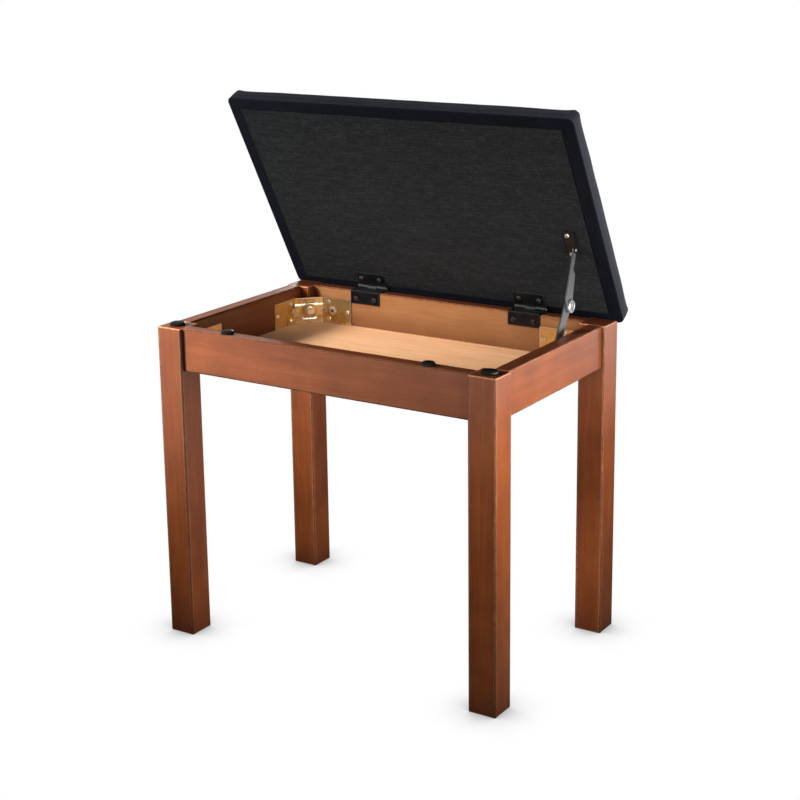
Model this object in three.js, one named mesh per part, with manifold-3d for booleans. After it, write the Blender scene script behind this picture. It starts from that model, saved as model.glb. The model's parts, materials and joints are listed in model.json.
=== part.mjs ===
// A piano bench with a lift-up seat: four square legs, four aprons round a storage tray, pressed corner
// brackets, and an upholstered lid on two cranked hinges, held open by a folding stay.
// Millimetres, +Z up, +Y towards the hinge side. The lid is modelled closed and then turned open.
import * as THREE from "three";
import { mergeVertices } from "three/addons/utils/BufferGeometryUtils.js";
import Module from "manifold-3d";

const wasm = await Module();
wasm.setup();

// Driving dimensions
const FRAME = { width: 534, depth: 342, restCentreY: 12.5 };
const LEG = { height: 450, section: 40, edge: 2 };
const APRON = { height: 60, thickness: 20, inset: 5, edge: 1.5 };
const TRAY = { thickness: 4, groove: 6, grooveHeight: 5, play: 0.5 };
const BRACKET = { thickness: 1.5, low: 396, high: 434, corner: 34, flange: 48 };
const BRACKET_SCREWS = [[42, 402], [42, 428], [76, 415]]; // distance from the corner, height
const BOLT = { radius: 4, hole: 4.4, depth: 20, tail: 2.5, height: 415 };
const NUT = { radius: 7.5, thickness: 6 };
const WASHER = { radius: 11.5, thickness: 1.5 };
const BUMPER = { onLeg: 11, onApron: 9, height: 5, crown: 1.2, left: 156, right: 162 };
const LID = { width: 546, front: 332, back: 8, thickness: 26, gap: 6.3, corner: 9, roll: 4 };
const COVER = { skin: 1, border: 18, rearBorder: 13, rearHem: 38, cloth: 0.7, tuck: 3 };
const BOARD = { thickness: 12 };
const HINGE = { y: 166.5, z: 453.15, spread: 134, length: 50, leaf: 1.5, drop: 19, reach: 26 };
const HINGE_SCREWS = { spread: 16, drop: 11, reach: 15 };
const BARREL = { radius: 2.6, bore: 1.5, pin: 1.2, clear: 3.3, knuckle: 16.5 };
const OPEN_ANGLE = THREE.MathUtils.degToRad(61.2);
const STAY = { lidPivot: [105, 557.5], knee: [90, 483], basePivot: [52, 420], face: 229.4, arm: 2 };
// Points of the arm's edges: distance from the lid pivot, offset towards the hinge side
const UPPER_ARM = {
  end: 3.5,
  wrap: 1.1,
  rear: [[66, 7.5], [33, 7], [27, 0.5]],
  front: [[25, -6.5], [66, -13]],
};
const LOWER_ARM = { end: 8 };
const LID_PLATE = { front: 26, back: 18, width: 17, thickness: 1.2, corner: 3, screws: [-20, 12], inset: 10 };
const EAR = { radius: 5, root: 9, thickness: 1.5 };
const BASE_PLATE = {
  front: 32,
  back: 8,
  high: 12,
  corner: 4,
  thickness: 1.5,
  boss: 6,
  screws: [-6, 6],
  inset: 24,
};
const RIVET = { radius: 2.5, hole: 2.8, head: 4, height: 1.4 };
const DISC = { radius: 9, thickness: 3.8, slot: 1.6, slotDepth: 1 };
const SCREW = { radius: 3.2, height: 1.8 };
const GAP = 0.3;
const OVERLAP = 1; // how far a drill passes a face, or a joined piece runs into its neighbour
const ARC = 4; // steps in a rounded edge's quarter turn
const ROUND = 24; // sides of a round piece

// Derived places
const HALF_W = FRAME.width / 2;
const HALF_D = FRAME.depth / 2;
const INNER_X = HALF_W - APRON.inset - APRON.thickness;
const INNER_Y = HALF_D - APRON.inset - APRON.thickness;
const APRON_LOW = LEG.height - APRON.height;
const LID_LOW = LEG.height + LID.gap;
const LID_FRONT = HINGE.y - LID.front;
const LID_BACK = HINGE.y + LID.back;
const CLOTH_LOW = LID_LOW - GAP - COVER.cloth;
const UPPER_FACE = STAY.face + STAY.arm + GAP;
const DISC_FACE = UPPER_FACE + STAY.arm + GAP;
const PLATE_LOW = CLOTH_LOW - GAP - LID_PLATE.thickness;

// Looks: colour, roughness, metalness
const LOOKS = {
  wood: [0x7d3f28, 0.42, 0],
  panel: [0xc08a5c, 0.7, 0],
  board: [0x9a6a42, 0.8, 0],
  brass: [0xc9a24a, 0.35, 1],
  black: [0x17181a, 0.45, 1],
  steel: [0xa5a6a4, 0.38, 1],
  rubber: [0x151515, 0.75, 0],
  foam: [0xd8d2b8, 0.95, 0],
  cover: [0x23262d, 0.6, 0],
  cloth: [0x1d1d1e, 0.95, 0],
};

function named(name, geometry, finish) {
  const [color, roughness, metalness] = LOOKS[finish];
  const mesh = new THREE.Mesh(geometry, new THREE.MeshStandardMaterial({ color, roughness, metalness }));
  mesh.name = name;
  return mesh;
}

// Booleans: a closed geometry becomes a solid and comes back as a geometry.
function solid(geometry) {
  const bare = geometry.clone();
  bare.deleteAttribute("normal");
  bare.deleteAttribute("uv");
  const merged = mergeVertices(bare, 1e-4);
  return new wasm.Manifold(new wasm.Mesh({
    numProp: 3,
    vertProperties: new Float32Array(merged.attributes.position.array),
    triVerts: new Uint32Array(merged.index.array),
  }));
}

function geometryOf(body) {
  const { vertProperties, triVerts } = body.getMesh();
  return new THREE.BufferGeometry()
    .setAttribute("position", new THREE.BufferAttribute(vertProperties, 3))
    .setIndex(new THREE.BufferAttribute(triVerts, 1));
}

function join(...pieces) {
  return geometryOf(pieces.map(solid).reduce((all, next) => all.add(next)));
}

function cut(stock, ...tools) {
  return geometryOf(tools.map(solid).reduce((rest, tool) => rest.subtract(tool), solid(stock)));
}

// Outlines
function outline(points) {
  return new THREE.Shape(points.map(([x, y]) => new THREE.Vector2(x, y)));
}

function arc([cx, cy], radius, from, to, steps) {
  return Array.from({ length: steps + 1 }, (_, i) => {
    const angle = from + ((to - from) * i) / steps;
    return [cx + radius * Math.cos(angle), cy + radius * Math.sin(angle)];
  });
}

function roundedRect(x0, x1, y0, y1, r) {
  const quarter = Math.PI / 2;
  return outline([
    ...arc([x1 - r, y0 + r], r, -quarter, 0, ARC),
    ...arc([x1 - r, y1 - r], r, 0, quarter, ARC),
    ...arc([x0 + r, y1 - r], r, quarter, 2 * quarter, ARC),
    ...arc([x0 + r, y0 + r], r, 2 * quarter, 3 * quarter, ARC),
  ]);
}

// The outline of a bar with a round end about each of two points.
function link(a, ra, b, rb) {
  const along = Math.atan2(b[1] - a[1], b[0] - a[0]);
  const lean = Math.acos((ra - rb) / Math.hypot(b[0] - a[0], b[1] - a[1]));
  return outline([
    ...arc(b, rb, along - lean, along + lean, 2 * ARC),
    ...arc(a, ra, along + lean, along + 2 * Math.PI - lean, 2 * ARC),
  ]);
}

// Solids
const YZ_TO_X = new THREE.Matrix4().set(0, 0, 1, 0, 1, 0, 0, 0, 0, 1, 0, 0, 0, 0, 0, 1);

function alongZ(shape, z0, z1) {
  const options = { depth: z1 - z0, bevelEnabled: false, curveSegments: ARC };
  return new THREE.ExtrudeGeometry(shape, options).translate(0, 0, z0);
}

// The outline's x and y stand for Y and Z, and the extrusion runs along X.
function alongX(shape, x0, x1) {
  return alongZ(shape, 0, x1 - x0).applyMatrix4(YZ_TO_X).translate(x0, 0, 0);
}

function box(x0, x1, y0, y1, z0, z1) {
  return new THREE.BoxGeometry(x1 - x0, y1 - y0, z1 - z0)
    .translate((x0 + x1) / 2, (y0 + y1) / 2, (z0 + z1) / 2);
}

function discX(radius, x0, x1, [y, z], sides = ROUND) {
  return new THREE.CylinderGeometry(radius, radius, x1 - x0, sides)
    .rotateZ(-Math.PI / 2)
    .translate((x0 + x1) / 2, y, z);
}

// A domed screw head standing on z = 0.
function screwHead() {
  const { radius, height } = SCREW;
  const profile = [[0, 0], [radius, 0], [radius, 0.35 * height], [0.7 * radius, 0.85 * height], [0, height]];
  const points = profile.map(([r, h]) => new THREE.Vector2(r, h));
  return new THREE.LatheGeometry(points, 12).rotateX(Math.PI / 2);
}

// Legs: square posts with eased edges, drilled on the inner corner for the hanger bolt
function leg(name, sx, sy) {
  const s = LEG.section / 2;
  const [cx, cy] = [sx * (HALF_W - s), sy * (HALF_D - s)];
  const stock = alongZ(roundedRect(cx - s, cx + s, cy - s, cy + s, LEG.edge), 0, LEG.height);
  const length = 2 * (BOLT.depth + BOLT.tail);
  const drill = new THREE.CylinderGeometry(BOLT.hole, BOLT.hole, length, 12)
    .rotateZ(Math.PI / 2)
    .rotateZ(Math.atan2(sy, sx))
    .translate(cx - sx * s, cy - sy * s, BOLT.height);
  return named(name, cut(stock, drill), "wood");
}

// Aprons: a board with eased edges, rebated along its lower inner edge for the tray
function apron(name, length, faceDistance, turn) {
  const { thickness: t, edge: e } = APRON;
  const high = LEG.height;
  const quarter = Math.PI / 2;
  const profile = outline([
    [-TRAY.groove, APRON_LOW],
    [-TRAY.groove, APRON_LOW + TRAY.grooveHeight],
    [0, APRON_LOW + TRAY.grooveHeight],
    ...arc([-e, high - e], e, 0, quarter, ARC),
    ...arc([e - t, high - e], e, quarter, 2 * quarter, ARC),
    ...arc([e - t, APRON_LOW + e], e, 2 * quarter, 3 * quarter, ARC),
  ]);
  const mesh = named(name, alongX(profile, -length / 2, length / 2), "wood");
  mesh.rotation.z = turn;
  mesh.position.set(faceDistance * Math.sin(turn), -faceDistance * Math.cos(turn), 0);
  return mesh;
}

// Tray: a thin panel held in the aprons' rebates and notched round the legs
function tray() {
  const x = INNER_X + TRAY.groove - TRAY.play;
  const y = INNER_Y + TRAY.groove - TRAY.play;
  const legX = HALF_W - LEG.section - TRAY.play;
  const legY = HALF_D - LEG.section - TRAY.play;
  const corner = (sx, sy) => [[sx * x, sy * legY], [sx * legX, sy * legY], [sx * legX, sy * y]];
  const points = [
    ...corner(1, 1),
    ...corner(-1, 1).reverse(),
    ...corner(-1, -1),
    ...corner(1, -1).reverse(),
  ];
  const high = APRON_LOW + TRAY.grooveHeight;
  return named("storage_tray", alongZ(outline(points), high - TRAY.thickness, high), "panel");
}

// Corner bracket: a strip bent across the corner, with a flange on each apron and its screw heads.
// It is drawn about the inner corner of the aprons, with the room towards -X and -Y.
function cornerBracket(name) {
  const { thickness: t, corner, flange, low, high } = BRACKET;
  const end = corner + flange;
  const back = corner - t * Math.SQRT2;
  const half = [[0, -end], [0, -back], [-back, 0], [-end, 0]];
  const front = [[-end, -t], [t - corner, -t], [-t, t - corner], [-t, -end]];
  const strip = alongZ(outline([...half, ...front]), low, high);
  const heads = BRACKET_SCREWS.flatMap(([distance, z]) => [
    screwHead().rotateY(-Math.PI / 2).translate(-t, -distance, z),
    screwHead().rotateX(Math.PI / 2).translate(-distance, -t, z),
  ]);
  const middle = -corner / 2;
  const hole = new THREE.CylinderGeometry(BOLT.hole, BOLT.hole, 12, 12)
    .rotateZ(Math.PI / 2)
    .rotateZ(Math.PI / 4)
    .translate(middle, middle, BOLT.height);
  return named(name, cut(join(strip, ...heads), hole), "brass");
}

// A round piece on the bracket's bolt line, running from one distance to another.
function onBolt(radius, from, to, sides, bore = 0) {
  const body = discX(radius, from, to, [0, 0], sides);
  return bore ? cut(body, discX(bore, from - OVERLAP, to + OVERLAP, [0, 0], 12)) : body;
}

function corner(label, sx, sy, turn) {
  const group = new THREE.Group();
  group.position.set(sx * INNER_X, sy * INNER_Y, 0);
  group.rotation.z = turn;
  group.add(cornerBracket("corner_bracket_" + label));

  const line = new THREE.Group();
  line.position.z = BOLT.height;
  line.rotation.z = -0.75 * Math.PI;
  const legCorner = Math.SQRT2 * (LEG.section - APRON.inset - APRON.thickness);
  const washerAt = BRACKET.corner / Math.SQRT2 + GAP;
  const washerEnd = washerAt + WASHER.thickness;
  const nutAt = washerEnd + GAP;
  const nutEnd = nutAt + NUT.thickness;
  const bolt = onBolt(BOLT.radius, legCorner - BOLT.depth, nutEnd + BOLT.tail, 12);
  const washer = onBolt(WASHER.radius, washerAt, washerEnd, ROUND, BOLT.hole);
  const nut = onBolt(NUT.radius, nutAt, nutEnd, 6, BOLT.hole);
  line.add(
    named("hanger_bolt_" + label, bolt, "brass"),
    named("washer_" + label, washer, "brass"),
    named("hex_nut_" + label, nut, "brass"),
  );
  group.add(line);
  return group;
}

// Bumpers: low rubber buttons that the lid rests on
function bumper(name, radius, x, y) {
  const { height, crown } = BUMPER;
  const profile = [[0, 0], [radius, 0], [radius, height - crown], [radius - crown, height], [0, height]];
  const points = profile.map(([r, h]) => new THREE.Vector2(r, h));
  const mesh = named(name, new THREE.LatheGeometry(points, ROUND).rotateX(Math.PI / 2), "rubber");
  mesh.position.set(x, y, LEG.height);
  return mesh;
}

// Hinges: a cranked leaf over the back apron, a flat leaf under the lid, and a pin between them
const HINGE_PLACES = [["left", -HINGE.spread], ["right", HINGE.spread]];
const KNUCKLES = [-HINGE.length / 2, -BARREL.knuckle / 2, BARREL.knuckle / 2, HINGE.length / 2];

function knuckles(spans, tongueLow, tongueHigh) {
  const axis = [HINGE.y, HINGE.z];
  return spans.flatMap(([x0, x1]) => [
    discX(BARREL.radius, x0, x1, axis, 16),
    box(x0, x1, HINGE.y - BARREL.clear - OVERLAP, HINGE.y, tongueLow, tongueHigh),
  ]);
}

function hingeLeaf(name, x, plates, spans, tongueLow, tongueHigh) {
  const bore = discX(BARREL.bore, -HINGE.length, HINGE.length, [HINGE.y, HINGE.z], 12);
  const mesh = named(name, cut(join(...plates, ...knuckles(spans, tongueLow, tongueHigh)), bore), "black");
  mesh.position.x = x;
  return mesh;
}

function lowerLeaf(name, x) {
  const half = HINGE.length / 2;
  const [low, high] = [LEG.height, LEG.height + HINGE.leaf];
  const face = INNER_Y - HINGE.leaf;
  const plates = [
    box(-half, half, face, INNER_Y, low - HINGE.drop, high),
    box(-half, half, face, HINGE.y - BARREL.clear, low, high),
  ];
  const spans = [[KNUCKLES[0], KNUCKLES[1] - GAP / 2], [KNUCKLES[2] + GAP / 2, KNUCKLES[3]]];
  return hingeLeaf(name, x, plates, spans, low, high);
}

function upperLeaf(name, x) {
  const half = HINGE.length / 2;
  const high = LID_LOW - GAP;
  const low = high - HINGE.leaf;
  const plates = [box(-half, half, HINGE.y - HINGE.reach, HINGE.y - BARREL.clear, low, high)];
  const spans = [[KNUCKLES[1] + GAP / 2, KNUCKLES[2] - GAP / 2]];
  return hingeLeaf(name, x, plates, spans, low, high);
}

function hingePin(name, x) {
  const half = HINGE.length / 2 + OVERLAP;
  return named(name, discX(BARREL.pin, x - half, x + half, [HINGE.y, HINGE.z], 12), "steel");
}

function screw(name, at, tiltX, tiltY, finish) {
  const mesh = named(name, screwHead(), finish);
  mesh.rotation.set(tiltX, tiltY, 0);
  mesh.position.set(...at);
  return mesh;
}

// Stay: two flat bars that fold at a knee, between a stud on the right apron and an ear under the lid
function barAlongX(shape, face, holes) {
  const bar = alongX(shape, face, face + STAY.arm);
  const [from, to] = [face - OVERLAP, face + STAY.arm + OVERLAP];
  return cut(bar, ...holes.map((at) => discX(RIVET.hole, from, to, at, 16)));
}

function rivet(name, at, headFace, end) {
  const head = discX(RIVET.head, headFace - RIVET.height, headFace, at, 16);
  return named(name, join(head, discX(RIVET.radius, headFace - RIVET.height / 2, end, at, 16)), "steel");
}

function baseBracket() {
  const [y, z] = STAY.basePivot;
  const { front, back, high, corner: r, thickness, boss } = BASE_PLATE;
  const plate = alongX(roundedRect(y - front, y + back, z - high, z + high, r), INNER_X - thickness, INNER_X);
  const shoulder = discX(boss, UPPER_FACE, INNER_X - thickness / 2, STAY.basePivot);
  return named("stay_apron_bracket", join(plate, shoulder), "black");
}

function upperArm() {
  const [from, to] = [STAY.lidPivot, STAY.knee];
  const length = Math.hypot(to[0] - from[0], to[1] - from[1]);
  const along = [(to[0] - from[0]) / length, (to[1] - from[1]) / length];
  const place = (a, b) => [from[0] + a * along[0] - b * along[1], from[1] + a * along[1] + b * along[0]];
  const turn = Math.atan2(along[1], along[0]);
  const { end, wrap, rear, front } = UPPER_ARM;
  const shape = outline([
    ...arc(to, DISC.radius, turn - wrap, turn + wrap, 3 * ARC),
    ...rear.map(([a, b]) => place(a, b)),
    ...arc(from, end, turn + Math.PI / 2, turn + 1.5 * Math.PI, 2 * ARC),
    ...front.map(([a, b]) => place(a, b)),
  ]);
  return named("stay_upper_arm", barAlongX(shape, UPPER_FACE, [from, to]), "steel");
}

function lowerArm() {
  const shape = link(STAY.basePivot, LOWER_ARM.end, STAY.knee, DISC.radius);
  return named("stay_lower_arm", barAlongX(shape, STAY.face, [STAY.basePivot, STAY.knee]), "steel");
}

function kneeDisc() {
  const [y, z] = STAY.knee;
  const end = DISC_FACE + DISC.thickness;
  const knob = discX(DISC.radius, DISC_FACE, end, STAY.knee);
  const shank = discX(RIVET.radius, STAY.face + STAY.arm + GAP / 2, DISC_FACE + OVERLAP, STAY.knee, 16);
  const [long, wide] = [0.75 * DISC.radius, DISC.slot / 2];
  const slot = box(end - DISC.slotDepth, end + OVERLAP, y - long, y + long, z - wide, z + wide);
  return named("stay_knee_disc", cut(join(knob, shank), slot), "steel");
}

// Where a point beside the open lid lies when the lid is closed.
function whenClosed([y, z]) {
  const [dy, dz] = [y - HINGE.y, z - HINGE.z];
  const [c, s] = [Math.cos(OPEN_ANGLE), Math.sin(OPEN_ANGLE)];
  return [HINGE.y + dy * c - dz * s, HINGE.z + dy * s + dz * c];
}

function lidBracket() {
  const [y, z] = whenClosed(STAY.lidPivot);
  const { front, back, width, thickness, corner: r } = LID_PLATE;
  const [low, high] = [PLATE_LOW, PLATE_LOW + thickness];
  const outer = DISC_FACE + EAR.thickness;
  const plate = alongZ(roundedRect(outer - width, outer, y - front, y + back, r), low, high);
  const root = low + thickness / 2;
  const tab = outline([
    ...arc([y, z], EAR.radius, Math.PI, 2 * Math.PI, 2 * ARC),
    [y + EAR.root, root],
    [y - EAR.root, root],
  ]);
  const hole = discX(RIVET.hole, DISC_FACE - OVERLAP, outer + OVERLAP, [y, z], 16);
  return named("stay_lid_bracket", cut(join(plate, alongX(tab, DISC_FACE, outer)), hole), "black");
}

function lidRivet() {
  return rivet("stay_lid_rivet", whenClosed(STAY.lidPivot), UPPER_FACE - GAP, DISC_FACE + EAR.thickness);
}

// Lid, drawn closed: board, foam, cover wrapped round both, and a dust cloth below
function cushionBlock(inset, low, high, roll) {
  const half = LID.width / 2 - inset;
  const r = LID.corner - inset;
  const shape = roundedRect(-half, half, LID_FRONT + inset, LID_BACK - inset, r);
  if (!roll) return alongZ(shape, low, high);
  const depth = high - low - 2 * roll;
  const bevel = { bevelThickness: roll, bevelSize: roll, bevelOffset: -roll, bevelSegments: 3 };
  return new THREE.ExtrudeGeometry(shape, { depth, curveSegments: ARC, bevelEnabled: true, ...bevel })
    .translate(0, 0, low + roll);
}

function seatCover() {
  const high = LID_LOW + LID.thickness;
  const outer = cushionBlock(0, LID_LOW, high, LID.roll);
  const inner = cushionBlock(COVER.skin, LID_LOW + COVER.skin, high - COVER.skin, LID.roll - COVER.skin);
  const half = LID.width / 2 - COVER.border - COVER.tuck;
  const [front, back] = [LID_FRONT + COVER.border + COVER.tuck, LID_BACK - COVER.rearHem];
  const mouth = box(-half, half, front, back, LID_LOW - OVERLAP, LID_LOW + 2 * COVER.skin);
  return named("seat_cover", cut(outer, inner, mouth), "cover");
}

function dustCloth() {
  const half = LID.width / 2 - COVER.border;
  const shape = roundedRect(-half, half, LID_FRONT + COVER.border, LID_BACK - COVER.rearBorder, 2);
  const sheet = alongZ(shape, CLOTH_LOW, CLOTH_LOW + COVER.cloth);
  const notches = HINGE_PLACES.map(([, middle]) => {
    const side = HINGE.length / 2 + 2 * GAP;
    const front = HINGE.y - HINGE.reach - 2 * GAP;
    return box(middle - side, middle + side, front, LID_BACK, CLOTH_LOW - OVERLAP, LID_LOW);
  });
  return named("dust_cloth", cut(sheet, ...notches), "cloth");
}

function lid() {
  const boardLow = LID_LOW + COVER.skin + GAP;
  const boardHigh = boardLow + BOARD.thickness;
  const foamHigh = LID_LOW + LID.thickness - COVER.skin - GAP;
  const closed = new THREE.Group();
  closed.position.set(0, -HINGE.y, -HINGE.z);
  closed.add(
    named("lid_board", cushionBlock(LID.roll, boardLow, boardHigh, 0), "board"),
    named("seat_foam", cushionBlock(LID.roll, boardHigh + GAP, foamHigh, 0), "foam"),
    seatCover(),
    dustCloth(),
    lidBracket(),
    lidRivet(),
  );
  const leafLow = LID_LOW - GAP - HINGE.leaf - GAP;
  for (const [label, middle] of HINGE_PLACES) {
    closed.add(upperLeaf(`hinge_${label}_upper_leaf`, middle));
    for (const [n, dx] of [[1, -HINGE_SCREWS.spread], [2, HINGE_SCREWS.spread]]) {
      const at = [middle + dx, HINGE.y - HINGE_SCREWS.reach, leafLow];
      closed.add(screw(`hinge_${label}_upper_screw_${n}`, at, Math.PI, 0, "black"));
    }
  }
  const [pivotY] = whenClosed(STAY.lidPivot);
  LID_PLATE.screws.forEach((dy, i) => {
    const at = [DISC_FACE - LID_PLATE.inset, pivotY + dy, PLATE_LOW - GAP];
    closed.add(screw(`stay_lid_screw_${i + 1}`, at, Math.PI, 0, "steel"));
  });
  const open = new THREE.Group();
  open.position.set(0, HINGE.y, HINGE.z);
  open.rotation.x = -OPEN_ANGLE;
  open.add(closed);
  return open;
}

// The whole bench
const bench = new THREE.Group();
bench.position.y = -FRAME.restCentreY;

const CORNERS = [
  ["front_left", -1, -1, Math.PI],
  ["front_right", 1, -1, -Math.PI / 2],
  ["back_left", -1, 1, Math.PI / 2],
  ["back_right", 1, 1, 0],
];
for (const [label, sx, sy, turn] of CORNERS) {
  bench.add(leg("leg_" + label, sx, sy), corner(label, sx, sy, turn));
}

const LONG = FRAME.width - 2 * LEG.section;
const SHORT = FRAME.depth - 2 * LEG.section;
bench.add(
  apron("apron_front", LONG, INNER_Y, 0),
  apron("apron_right", SHORT, INNER_X, Math.PI / 2),
  apron("apron_back", LONG, INNER_Y, Math.PI),
  apron("apron_left", SHORT, INNER_X, -Math.PI / 2),
  tray(),
);

const LEG_X = HALF_W - LEG.section / 2;
const LEG_Y = HALF_D - LEG.section / 2;
const APRON_Y = INNER_Y + APRON.thickness / 2;
bench.add(
  bumper("bumper_leg_left", BUMPER.onLeg, -LEG_X, -LEG_Y),
  bumper("bumper_leg_right", BUMPER.onLeg, LEG_X, -LEG_Y),
  bumper("bumper_apron_left", BUMPER.onApron, -BUMPER.left, -APRON_Y),
  bumper("bumper_apron_right", BUMPER.onApron, BUMPER.right, -APRON_Y),
);

for (const [label, middle] of HINGE_PLACES) {
  bench.add(lowerLeaf(`hinge_${label}_lower_leaf`, middle), hingePin(`hinge_${label}_pin`, middle));
  for (const [n, dx] of [[1, -HINGE_SCREWS.spread], [2, HINGE_SCREWS.spread]]) {
    const at = [middle + dx, INNER_Y - HINGE.leaf, LEG.height - HINGE_SCREWS.drop];
    bench.add(screw(`hinge_${label}_lower_screw_${n}`, at, Math.PI / 2, 0, "black"));
  }
}

bench.add(
  baseBracket(),
  rivet("stay_apron_rivet", STAY.basePivot, STAY.face - GAP, UPPER_FACE),
  lowerArm(),
  rivet("stay_knee_rivet", STAY.knee, STAY.face - GAP, STAY.face + STAY.arm),
  upperArm(),
  kneeDisc(),
);
BASE_PLATE.screws.forEach((dz, i) => {
  const [y, z] = STAY.basePivot;
  const at = [INNER_X - BASE_PLATE.thickness, y - BASE_PLATE.inset, z + dz];
  bench.add(screw(`stay_apron_screw_${i + 1}`, at, 0, -Math.PI / 2, "steel"));
});

bench.add(lid());

export default bench;
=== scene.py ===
"""Looks of the piano bench: stained wood, plated brackets, black hinges, a folding stay and a padded lid.

Metres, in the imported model's frame. Pieces of the lid are drawn closed, and OPEN places them as they rest.
"""

import json
import math

import bmesh
import bpy
import numpy as np
from mathutils import Matrix, Vector, noise

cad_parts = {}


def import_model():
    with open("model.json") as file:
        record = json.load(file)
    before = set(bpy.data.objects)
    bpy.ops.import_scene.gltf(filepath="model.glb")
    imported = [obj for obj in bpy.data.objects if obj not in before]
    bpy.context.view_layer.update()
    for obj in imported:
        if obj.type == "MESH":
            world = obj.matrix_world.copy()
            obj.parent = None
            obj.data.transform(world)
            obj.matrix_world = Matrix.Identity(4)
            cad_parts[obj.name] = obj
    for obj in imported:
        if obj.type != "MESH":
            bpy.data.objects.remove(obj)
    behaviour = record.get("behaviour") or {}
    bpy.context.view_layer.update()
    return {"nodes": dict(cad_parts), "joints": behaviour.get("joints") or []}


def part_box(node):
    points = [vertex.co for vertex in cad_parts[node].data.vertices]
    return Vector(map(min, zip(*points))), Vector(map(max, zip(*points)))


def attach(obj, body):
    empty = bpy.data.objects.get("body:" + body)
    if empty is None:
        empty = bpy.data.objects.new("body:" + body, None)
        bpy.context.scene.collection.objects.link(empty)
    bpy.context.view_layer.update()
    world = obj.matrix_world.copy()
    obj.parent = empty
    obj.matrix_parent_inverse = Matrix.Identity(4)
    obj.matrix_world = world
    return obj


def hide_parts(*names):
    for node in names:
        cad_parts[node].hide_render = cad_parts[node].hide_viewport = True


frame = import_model()

MM = 0.001
QUARTER = math.pi / 2
JOINTS = {j["name"]: j for j in frame["joints"]}
PIN = Vector(JOINTS["lid_hinge"]["pos_m"])
SWING = math.radians(JOINTS["lid_hinge"]["range_deg"][0])
OPEN = Matrix.Translation(PIN) @ Matrix.Rotation(SWING, 4, "X") @ Matrix.Translation(-PIN)
CORNERS = {"front_left": (-1, -1), "front_right": (1, -1), "back_left": (-1, 1), "back_right": (1, 1)}


# ---- where the CAD says things are
def cad_points(node, place=None):
    """A node's vertices in the model's frame, or as they lay before place moved them."""
    back = place.inverted() if place else Matrix.Identity(4)
    return np.array([back @ v.co for v in frame["nodes"][node].data.vertices])


def box_of(node, place=None):
    """The box round a node's vertices; with OPEN as the place, where it lies with the lid closed."""
    points = cad_points(node, place)
    return Vector(points.min(0)), Vector(points.max(0))


def closed_box(node):
    return box_of(node, OPEN)


# ---- materials
class Shade:
    """A node material whose patterns lie in the object's own coordinates."""

    def __init__(self, name, **sockets):
        self.material = bpy.data.materials.new(name)
        self.material.use_nodes = True
        self.tree = self.material.node_tree
        self.shader = self.tree.nodes["Principled BSDF"]
        for socket, value in sockets.items():
            self.shader.inputs[socket.replace("_", " ")].default_value = value
        self.coords = self.make("ShaderNodeTexCoord").outputs["Object"]
        self.edge = self.make("ShaderNodeAttribute", attribute_name="edge").outputs["Fac"]

    def make(self, kind, inputs=(), **settings):
        node = self.tree.nodes.new(kind)
        for name, value in settings.items():
            setattr(node, name, value)
        for name, value in dict(inputs).items():
            if isinstance(value, bpy.types.NodeSocket):
                self.tree.links.new(value, node.inputs[name])
            else:
                node.inputs[name].default_value = value
        return node

    def stretched(self, scale, offset=(0, 0, 0)):
        inputs = {"Vector": self.coords, "Scale": scale, "Location": offset}
        return self.make("ShaderNodeMapping", inputs).outputs["Vector"]

    def noise(self, scale, detail=2, vector=None, roughness=0.5, distortion=0):
        inputs = {"Vector": vector or self.coords, "Scale": scale, "Detail": detail}
        inputs.update({"Roughness": roughness, "Distortion": distortion})
        return self.make("ShaderNodeTexNoise", inputs).outputs["Fac"]

    def wave(self, direction, scale, distortion=0):
        inputs = {"Vector": self.coords, "Scale": scale, "Distortion": distortion, "Detail Scale": 2}
        return self.make("ShaderNodeTexWave", inputs, bands_direction=direction).outputs["Fac"]

    def math(self, operation, a, b=0.0):
        return self.make("ShaderNodeMath", {0: a, 1: b}, operation=operation).outputs[0]

    def blend(self, *weighted):
        """The sum of sockets times their weights."""
        total = 0.0
        for socket, weight in weighted:
            inputs = {0: socket, 1: weight, 2: total}
            total = self.make("ShaderNodeMath", inputs, operation="MULTIPLY_ADD").outputs[0]
        return total

    def range(self, value, low, high, to_low=0.0, to_high=1.0):
        """The value's way from low to high, mapped to the way from to_low to to_high and held there."""
        inputs = {"Value": value, "From Min": low, "From Max": high, "To Min": to_low, "To Max": to_high}
        return self.make("ShaderNodeMapRange", inputs).outputs[0]

    def near(self, reach):
        """How open the surroundings are within a reach: low in corners, 1 on free faces."""
        return self.make("ShaderNodeAmbientOcclusion", {"Distance": reach}).outputs["AO"]

    def ramp(self, value, stops):
        node = self.make("ShaderNodeValToRGB", {"Fac": value})
        elements = node.color_ramp.elements
        while len(elements) < len(stops):
            elements.new(1)
        for element, (position, color) in zip(elements, stops):
            element.position = position
            element.color = (*color, 1)
        return node.outputs["Color"]

    def mix(self, factor, a, b):
        a, b = ((*c, 1) if isinstance(c, tuple) else c for c in (a, b))
        return self.make("ShaderNodeMix", {0: factor, 6: a, 7: b}, data_type="RGBA").outputs[2]

    def finish(self, color, height=None, depth=0.0, roughness=None):
        self.tree.links.new(color, self.shader.inputs["Base Color"])
        if roughness is not None:
            self.tree.links.new(roughness, self.shader.inputs["Roughness"])
        if height is not None:
            inputs = {"Height": height, "Strength": 1.0, "Distance": depth}
            bump = self.make("ShaderNodeBump", inputs).outputs["Normal"]
            self.tree.links.new(bump, self.shader.inputs["Normal"])
        return self.material


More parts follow.
